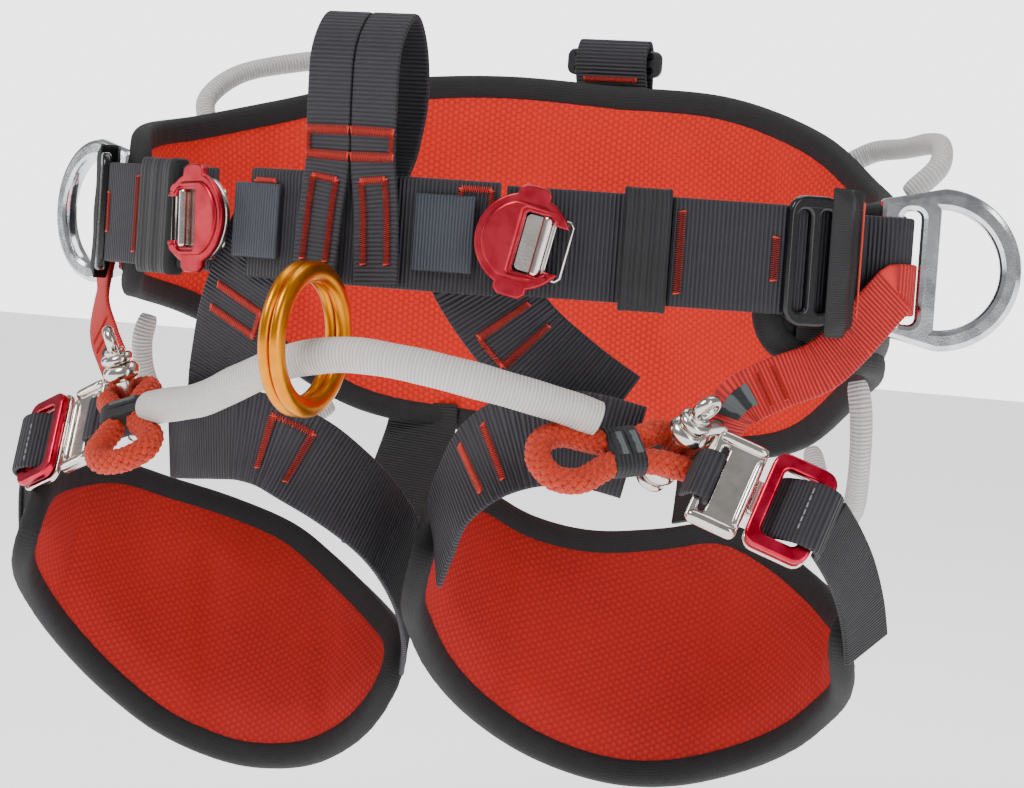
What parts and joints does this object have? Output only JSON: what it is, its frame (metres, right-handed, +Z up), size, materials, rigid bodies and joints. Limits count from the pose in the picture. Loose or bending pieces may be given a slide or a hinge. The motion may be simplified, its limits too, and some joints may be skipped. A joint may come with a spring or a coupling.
{
  "type": "tree climbing saddle",
  "caption": "Padded waist belt with two leg loops, a rope bridge with a ring between shackles, a front textile loop, side D-rings, quick-release buckles and gear loops.",
  "frame": {"origin": "centre of the waist opening at the belt webbing's mid-height", "axes": "+X the wearer's left, +Y the wearer's back, +Z up along the waist opening's axis; left and right in names are as seen from the front, so left is -X"},
  "size_m": [0.4864, 0.3311, 0.3609],
  "materials": {
    "spacer_mesh": "knitted spacer mesh",
    "leg_mesh": "knitted spacer mesh",
    "binding_tape": "woven binding tape",
    "shell_fabric": "coated woven fabric",
    "belt_webbing": "ribbed polyester webbing",
    "elastic": "knitted elastic",
    "black_steel": "black coated steel",
    "black_plastic": "moulded nylon",
    "grey_webbing": "smooth webbing",
    "rose_anodised": "matte anodised",
    "crimson_anodised": "anodised",
    "stainless": "polished stainless steel",
    "polished_aluminium": "polished",
    "red_sling": "ribbed webbing",
    "sleeve_weave": "ribbed tubular sleeve",
    "orange_rope": "braided rope",
    "band_sheath": "shrunk sheath",
    "gold_anodised": "satin anodised",
    "loop_sheath": "ribbed tube"
  },
  "bodies": {
    "belt": {"waist_pad": "spacer_mesh", "waist_binding": "binding_tape", "waist_shell": "shell_fabric", "back_webbing": "belt_webbing", "front_panel": "belt_webbing", "ventral_loop": "belt_webbing", "rear_strap": "belt_webbing", "rear_slider": "black_plastic", "wing_webbing_left": "belt_webbing", "front_strap_left": "belt_webbing", "riser_left": "belt_webbing", "keeper_left": "elastic", "adjuster_left": "black_steel", "connector_left": "grey_webbing", "buckle_tongue_left": "stainless", "sling_left": "red_sling", "shackle_left": "stainless", "rear_elastic_left": "elastic", "gear_loop_rear_left": "loop_sheath", "wing_webbing_right": "belt_webbing", "front_strap_right": "belt_webbing", "riser_right": "belt_webbing", "keeper_right": "elastic", "adjuster_right": "black_steel", "connector_right": "grey_webbing", "buckle_tongue_right": "stainless", "sling_right": "red_sling", "shackle_right": "stainless", "rear_elastic_right": "elastic", "gear_loop_rear_right": "loop_sheath"},
    "d_ring_left": {"d_ring_left": "polished_aluminium"},
    "buckle_left": {"buckle_plate_left": "rose_anodised"},
    "pin_left": {"shackle_pin_left": "stainless"},
    "leg_left": {"leg_strap_left": "belt_webbing", "leg_pad_left": "leg_mesh", "leg_binding_left": "binding_tape", "leg_plate_left": "stainless", "leg_outer_strap_left": "belt_webbing"},
    "leg_link_left": {"leg_frame_left": "crimson_anodised", "leg_underplate_left": "stainless"},
    "gear_loop_left": {"gear_loop_low_left": "loop_sheath"},
    "d_ring_right": {"d_ring_right": "polished_aluminium"},
    "buckle_right": {"buckle_plate_right": "rose_anodised"},
    "pin_right": {"shackle_pin_right": "stainless"},
    "leg_right": {"leg_strap_right": "belt_webbing", "leg_pad_right": "leg_mesh", "leg_binding_right": "binding_tape", "leg_plate_right": "stainless", "leg_outer_strap_right": "belt_webbing"},
    "leg_link_right": {"leg_frame_right": "crimson_anodised", "leg_underplate_right": "stainless"},
    "gear_loop_right": {"gear_loop_low_right": "loop_sheath"},
    "bridge": {"bridge_sleeve": "sleeve_weave", "bridge_eye_left": "orange_rope", "bridge_eye_right": "orange_rope", "rope_band_left": "band_sheath", "rope_band_right": "band_sheath"},
    "ring": {"bridge_ring": "gold_anodised"}
  },
  "joints": [
    {"name": "d_ring_left_swing", "type": "hinge", "parent": "belt", "child": "d_ring_left", "pos_m": [-0.19, -0.015, 0], "axis": [0, 0, -1], "range_deg": [-24, 24]},
    {"name": "buckle_left_lift", "type": "hinge", "parent": "belt", "child": "buckle_left", "pos_m": [-0.07071, -0.12332, 0.00107], "axis": [-0.0489, 0.0186, 0.9986], "range_deg": [0, 20]},
    {"name": "pin_left_turn", "type": "hinge", "parent": "belt", "child": "pin_left", "pos_m": [-0.131, -0.096, -0.081], "axis": [-0.2501, -0.3002, 0.9205], "range_deg": [0, 90]},
    {"name": "leg_left_swing", "type": "hinge", "parent": "belt", "child": "leg_left", "pos_m": [0, -0.098, -0.084], "axis": [1, 0, 0], "range_deg": [-8, 5], "deforming": ["rear_elastic_left"]},
    {"name": "leg_link_left_lift", "type": "hinge", "parent": "leg_left", "child": "leg_link_left", "pos_m": [-0.19147, -0.07398, -0.11188], "axis": [-0.1519, 0.4775, 0.8654], "range_deg": [0, 10]},
    {"name": "gear_loop_left_swing", "type": "hinge", "parent": "belt", "child": "gear_loop_left", "pos_m": [-0.178, -0.008, -0.047], "axis": [-0.4467, -0.8233, 0.3503], "range_deg": [-10, 25]},
    {"name": "d_ring_right_swing", "type": "hinge", "parent": "belt", "child": "d_ring_right", "pos_m": [0.19, -0.015, 0], "axis": [0, 0, 1], "range_deg": [-24, 24]},
    {"name": "buckle_right_lift", "type": "hinge", "parent": "belt", "child": "buckle_right", "pos_m": [0.05002, -0.12811, 0.00426], "axis": [-0.2004, -0.0555, -0.9781], "range_deg": [0, 20]},
    {"name": "pin_right_turn", "type": "hinge", "parent": "belt", "child": "pin_right", "pos_m": [0.131, -0.096, -0.081], "axis": [0.6302, -0.2901, 0.7202], "range_deg": [0, 90]},
    {"name": "leg_right_swing", "type": "hinge", "parent": "belt", "child": "leg_right", "pos_m": [0, -0.098, -0.084], "axis": [1, 0, 0], "range_deg": [-8, 4], "deforming": ["rear_elastic_right"]},
    {"name": "leg_link_right_lift", "type": "hinge", "parent": "leg_right", "child": "leg_link_right", "pos_m": [0.18947, -0.08398, -0.10588], "axis": [-0.1519, -0.4775, -0.8654], "range_deg": [0, 10]},
    {"name": "gear_loop_right_swing", "type": "hinge", "parent": "belt", "child": "gear_loop_right", "pos_m": [0.178, -0.008, -0.049], "axis": [-0.4494, 0.8282, -0.3348], "range_deg": [-10, 25]},
    {"name": "bridge_swing", "type": "hinge", "parent": "belt", "child": "bridge", "pos_m": [0, -0.096, -0.081], "axis": [1, 0, 0], "range_deg": [-3, 9]},
    {"name": "ring_swing", "type": "hinge", "parent": "bridge", "child": "ring", "pos_m": [-0.008, -0.1605, -0.0535], "axis": [1, 0, 0], "range_deg": [0, 170]}
  ]
}
